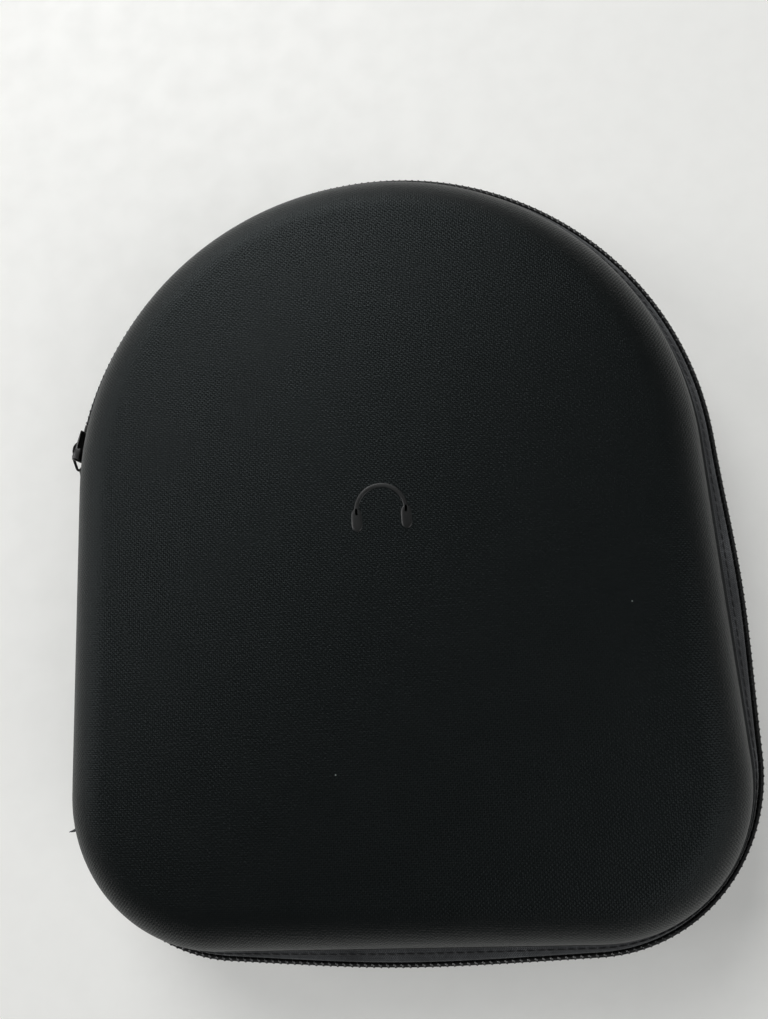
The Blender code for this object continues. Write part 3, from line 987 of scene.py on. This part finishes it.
@dataclass
class Slider:
    """The zip slider and its pull, built along the zip, outwards and up, then set in place."""

    outline: Outline
    angle: float = 168.9
    half_length: float = 4.2 * MM
    half_height: float = 4.0 * MM
    plate: Pair = (0.4 * MM, 1.3 * MM)
    nose: float = 1.2 * MM
    ramp: float = 0.55 * MM
    bridge_middle: float = -0.5 * MM
    bridge_foot: float = 0.8 * MM
    bridge_top: float = 3.5 * MM
    pull_along: float = -0.8 * MM
    pull_out: float = 2.15 * MM
    droop: float = math.radians(40.0)
    lean: float = math.radians(7.0)
    wire: float = 0.4 * MM
    loop_length: float = 5.6 * MM
    loop_half_width: float = 3.0 * MM
    loop_corner: float = 1.1 * MM
    loop_steps: int = 8
    tapers: Pair = (0.72, 0.8)  # of the outer and inner plates, at the nose
    inner_plate: Pair = (-4.1 * MM, -3.2 * MM)
    inner_half_height: float = 3.2 * MM
    web: Pair = (0.35 * MM, 2.3 * MM)  # from the tail end
    web_reach: Pair = (-3.6 * MM, 0.9 * MM)
    web_half_height: float = 0.08 * MM
    flange: Pair = (0.4 * MM, 3.6 * MM)  # from the tail end
    flange_reach: float = 0.9 * MM
    flange_height: float = 0.5 * MM
    roundings: Pair = (0.5 * MM, 0.12 * MM)  # of the outer plate, then of the rest
    bridge_half_length: float = 2.6 * MM
    bridge_strip: float = 0.65 * MM
    bridge_half_width: float = 1.0 * MM
    bridge_steps: int = 28
    squareness: float = 0.6
    ring_steps: int = 12
    # The grip's distances along the pull, half widths and half thicknesses, in millimetres.
    grip_reaches: tuple[float, ...] = (5.55, 6.4, 8.8, 14.4, 21.4)
    grip_widths: tuple[float, ...] = (1.7, 1.9, 2.5, 2.8, 2.3)
    grip_depths: tuple[float, ...] = (0.7, 0.8, 0.85, 1.0, 0.7)
    grip_steps: int = 60
    grip_sides: int = 16
    ribbed: Pair = (10.0, 18.0)
    rib_pitch: float = 1.6
    rib_depth: float = 0.22

    def build(self) -> None:
        """Make the casting, the bridge, the wire loop and the grip."""
        finished(self.casting(), ENAMEL, "slider", "slider_body")
        finished(self.bridge(), ENAMEL, "slider", "slider_bridge")
        finished(self.loop(), ENAMEL, "pull_tab", "pull_loop")
        finished(self.grip(), RUBBER, "pull_tab", "pull_grip")

    def place(self) -> Matrix:
        """From the slider's own directions to the case's."""
        out = towards(self.angle)
        radius = self.outline.arch_radius + self.outline.arch_stand_off
        spot = self.outline.arch_centre + radius * out
        return Matrix(((out.y, out.x, 0.0, spot.x), (-out.x, out.y, 0.0, spot.y),
                       (0.0, 0.0, 1.0, self.outline.zip_height), (0.0, 0.0, 0.0, 1.0)))

    def block(self, low: tuple[float, float, float], high: tuple[float, float, float],
              taper: float = 1.0) -> Piece:
        """A block between two corners whose far end along the zip is narrowed."""
        middle = [(a + b) / 2 for a, b in zip(low, high)]
        size = [b - a for a, b in zip(low, high)]
        bpy.ops.object.select_all(action="DESELECT")
        bpy.ops.mesh.primitive_cube_add(size=1.0, location=middle, scale=size)
        piece = bpy.context.object
        bpy.ops.object.transform_apply(location=True, rotation=False, scale=True)
        for corner in piece.data.vertices:
            if corner.co.x > middle[0]:
                corner.co.z *= taper
        return piece

    def casting(self) -> Piece:
        """The slider: outer plate with side flanges, inner plate and neck, as one casting."""
        end, tall, thin = self.half_length, self.half_height, self.web_half_height
        inner, (outer_taper, inner_taper) = self.inner_half_height, self.tapers
        (web_tail, web_nose), (web_in, web_out) = self.web, self.web_reach
        parts = [
            self.block((-end, self.plate[0], -tall), (end + self.nose, self.plate[1], tall), outer_taper),
            self.block((-end, self.inner_plate[0], -inner), (end, self.inner_plate[1], inner), inner_taper),
            self.block((web_tail - end, web_in, -thin), (web_nose - end, web_out, thin)),
        ]
        for side in (-1, 1):
            low, high = sorted((side * tall, side * (tall - self.flange_height)))
            parts.append(self.block((self.flange[0] - end, -self.flange_reach, low),
                                    (self.flange[1] - end, self.flange_reach, high)))
        whole = parts[0]
        whole.name = whole.data.name = "slider_casting"
        for corner in whole.data.vertices:
            if corner.co.x > 0.0 and corner.co.y > (self.plate[0] + self.plate[1]) / 2:
                corner.co.y -= self.ramp
        bevelled(whole, self.roundings[0])
        for part in parts[1:]:
            join = whole.modifiers.new("join", "BOOLEAN")
            join.operation = "UNION"
            join.object = part
            picked(whole)
            bpy.ops.object.modifier_apply(modifier=join.name)
            bpy.data.objects.remove(part, do_unlink=True)
        bevelled(whole, self.roundings[1], 2)
        return self.settled(whole)

    def settled(self, piece: Piece) -> Piece:
        """Turn a piece from the slider's directions into its place on the case."""
        piece.data.transform(self.place())
        piece.data.update()
        picked(piece)
        bpy.ops.object.shade_smooth_by_angle(angle=CAST_SMOOTH)
        return piece

    def bridge(self) -> Piece:
        """The arched strip that the pull hangs in, with rounded edges."""
        rows, half_strip, count = [], self.bridge_strip / 2, self.ring_steps
        for k in range(self.bridge_steps + 1):
            turn = math.pi * k / self.bridge_steps
            rise = math.sin(turn) ** self.squareness
            ring = []
            for corner in range(count):
                spin = towards(360.0 * corner / count)
                inset = half_strip - half_strip * squared(spin.x, self.squareness)
                high = self.bridge_top - self.bridge_foot - inset
                ring.append(Vector((self.bridge_middle + math.cos(turn) * (self.bridge_half_length - inset),
                                    self.bridge_foot + rise * high,
                                    self.bridge_half_width * squared(spin.y, self.squareness))))
            rows.append(ring)
        return self.settled(lofted("slider_arch", rows))

    def pull_place(self, reach: float, across: float, rise: float) -> Vector:
        """Place a point of the pull, which sags and leans in against the case.

        Args:
            reach: distance along the pull from the wire that hangs in the bridge.
            across: distance along that wire.
            rise: distance off the pull's face, away from the case.

        Returns:
            The point along the zip, outwards and up.
        """
        level = reach * math.cos(self.lean) + rise * math.sin(self.lean)
        return Vector((self.pull_along - level * math.cos(self.droop) - across * math.sin(self.droop),
                       self.pull_out - reach * math.sin(self.lean) + rise * math.cos(self.lean),
                       across * math.cos(self.droop) - level * math.sin(self.droop)))

    def loop(self) -> Piece:
        """The bent wire loop that hangs in the bridge."""
        corner, half, count = self.loop_corner, self.loop_length / 2, self.ring_steps
        rows = []
        for reach_sign, across_sign, first in ((1, 1, 0.0), (-1, 1, 90.0), (-1, -1, 180.0), (1, -1, 270.0)):
            centre = Vector((reach_sign * (half - corner), across_sign * (self.loop_half_width - corner)))
            for k in range(self.loop_steps + 1):
                turn = towards(first + 90.0 * k / self.loop_steps)
                ring = []
                for side in range(count):
                    round_wire = self.wire * towards(360.0 * side / count)
                    spot = centre + (corner + round_wire.x) * turn
                    ring.append(self.pull_place(half + spot.x, spot.y, round_wire.y))
                rows.append(ring)
        return self.settled(lofted("pull_wire_loop", rows, joined=True))

    def grip(self) -> Piece:
        """The grip moulded round the loop's end: soft shoulders, finger ribs and a rounded end."""
        reaches, steps, rows = self.grip_reaches, self.grip_steps, []
        for k in range(steps + 1):
            reach = reaches[0] + (reaches[-1] - reaches[0]) * k / steps
            leg = max(n for n in range(len(reaches) - 1) if reaches[n] <= reach)
            blend = eased((reach - reaches[leg]) / (reaches[leg + 1] - reaches[leg]))
            width, depth = (MM * (sizes[leg] + (sizes[leg + 1] - sizes[leg]) * blend)
                            for sizes in (self.grip_widths, self.grip_depths))
            near_end = min(1.0, (k + 1.2) / 4.0, (steps - k + 1.0) / 7.0)
            end = math.sqrt(1.0 - (1.0 - near_end) ** 2)
            start, stop = self.ribbed
            wave = 0.5 - 0.5 * math.cos(2.0 * math.pi * (reach - start) / self.rib_pitch)
            ribs = 1.0 - self.rib_depth * (start < reach < stop) * wave
            ring = []
            for corner in range(self.grip_sides):
                spin = towards(360.0 * corner / self.grip_sides)
                across = squared(spin.x, self.squareness) * width * end
                rise = squared(spin.y, 0.7) * depth * ribs * end ** 0.5
                ring.append(self.pull_place(reach * MM, across, rise))
            rows.append(ring)
        return self.settled(lofted("pull_moulded_grip", rows))


@dataclass
class PressedSign:
    """A plain pair of headphones pressed into the lid's cloth, in low relief."""

    outline: Outline
    centre: Pair = (2.0 * MM, 6.0 * MM)
    radius: float = 6.6 * MM
    band: float = 0.65 * MM
    rise: float = 0.22 * MM
    cup: Pair = (1.5 * MM, 3.1 * MM)
    cup_drop: float = 0.35  # of the radius
    cup_steps: int = 16
    sunk: float = 0.06 * MM
    band_past: float = 8.0  # degrees past a half circle, at each end
    band_steps: int = 40
    # Half of a ridge's width across, with its rise.
    shape: tuple[Pair, ...] = (
        (-1.0, 0.0), (-0.85, 0.7), (-0.5, 1.0), (0.5, 1.0), (0.85, 0.7), (1.0, 0.0))

    def build(self) -> None:
        """Make the headband and both ear cups, joined into one piece."""
        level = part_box("lid_outer_fabric")[1][2] + Shell.crown - self.sunk
        sweep = 180.0 + 2.0 * self.band_past
        arc = [towards(sweep * k / self.band_steps - self.band_past) for k in range(self.band_steps + 1)]
        spine = [self.radius * a for a in arc]
        parts = [self.ridge("pressed_sign", spine, arc, [self.band] * len(arc), level)]
        for side in (-1, 1):
            half, tall = self.cup
            ends = [math.cos(math.pi * k / self.cup_steps) for k in range(self.cup_steps + 1)]
            line = [Vector((side * self.radius, tall * e - self.cup_drop * self.radius)) for e in ends]
            out = [Vector((float(side), 0.0))] * len(ends)
            widths = [half * math.sqrt(max(0.04, 1.0 - e ** 4)) for e in ends]
            parts.append(self.ridge(f"pressed_cup_{side + 2}", line, out, widths, level))
        bpy.ops.object.select_all(action="DESELECT")
        for part in parts:
            part.select_set(True)
        bpy.context.view_layer.objects.active = parts[0]
        bpy.ops.object.join()
        finished(parts[0], PRESSED, "lid")

    def ridge(self, name: str, line: Sequence[Vector], out: Sequence[Vector],
              widths: Sequence[float], level: float) -> Piece:
        """A low rounded ridge along a line, with its underside in the cloth."""
        rows = []
        for spot, aside, half in zip(line, out, widths):
            place = Vector(self.centre) + spot
            rows.append([Vector((*(place + across * half * aside), level + up * self.rise))
                         for across, up in self.shape])
        return lofted(name, rows)


@dataclass
class Studio:
    """The pale desk, soft window light and the camera above it."""

    eye: tuple[float, float, float] = (0.0262, -0.0273, 0.2471)
    turn: tuple[float, float, float] = (8.895, 7.207, -3.626)
    lens: float = 27.65
    desk: str = "#e6e6e3"
    painted_glow: float = 0.2
    room: float = 0.14
    lamps: tuple[tuple[str, tuple[float, float, float], float, float], ...] = (
        ("window", (-0.5, 1.3, 1.0), 1.2, 20.0),
        ("side_wall", (-1.2, 0.2, 0.8), 0.8, 6.5),
        ("front_wall", (1.2, -0.9, 1.2), 1.4, 10.0),
    )

    def build(self) -> None:
        """Make the desk, the lights and the camera."""
        self.make_desk()
        for name, place, size, power in self.lamps:
            lamp = bpy.data.lights.new(name, "AREA")
            lamp.shape = "DISK"
            lamp.size = size
            lamp.energy = power
            holder = bpy.data.objects.new(name, lamp)
            holder.location = place
            holder.rotation_euler = (-Vector(place)).to_track_quat("-Z", "Y").to_euler()
            bpy.context.scene.collection.objects.link(holder)
        world = bpy.data.worlds.new("room")
        world.use_nodes = True
        world.node_tree.nodes["Background"].inputs["Color"].default_value = rgba("#f2f4f6")
        world.node_tree.nodes["Background"].inputs["Strength"].default_value = self.room
        bpy.context.scene.world = world
        bpy.context.scene.view_settings.view_transform = "Standard"
        lens = bpy.data.cameras.new("above")
        lens.lens = self.lens
        lens.clip_start = 0.01
        camera = bpy.data.objects.new("above", lens)
        camera.location = self.eye
        camera.rotation_euler = [math.radians(a) for a in self.turn]
        bpy.context.scene.collection.objects.link(camera)
        bpy.context.scene.camera = camera

    def make_desk(self) -> None:
        """The opal desk top: near white, with a faint even grain and a weak glow of its own, painted light
        that brightens it evenly.
        """
        bpy.ops.object.select_all(action="DESELECT")
        bpy.ops.mesh.primitive_plane_add(size=8.0, location=(0.0, 0.0, 0.0))
        desk = bpy.context.object
        desk.name = "desk"
        paint = Solid("opal_acrylic_desk", "", self.desk, "#e3e3e0", 1.2 * MM, 0.005 * MM, 0.6)
        opal = paint.material()
        shader = opal.node_tree.nodes["Principled BSDF"]
        # The desk glows weakly by itself: painted light from no lamp.
        shader.inputs["Emission Color"].default_value = rgba(self.desk)
        shader.inputs["Emission Strength"].default_value = self.painted_glow
        desk.data.materials.append(opal)


# Where each half's zip starts, in degrees about the arch's centre, and ends, about the left corner's.
ZIP_SPANS = {Half.BASE: (172.0, -161.6), Half.LID: (164.3, -154.0)}


def main() -> None:
    """Build every sub-assembly in order."""
    logging.basicConfig(level=logging.INFO, format="%(name)s %(message)s")
    Studio().build()
    outline = Outline()
    for half, span in ZIP_SPANS.items():
        Shell(outline, half).build()
        ZipHalf(outline, half, *span).build()
    Spine(outline).build()
    Slider(outline).build()
    PressedSign(outline).build()


if __name__ == "__main__":
    main()
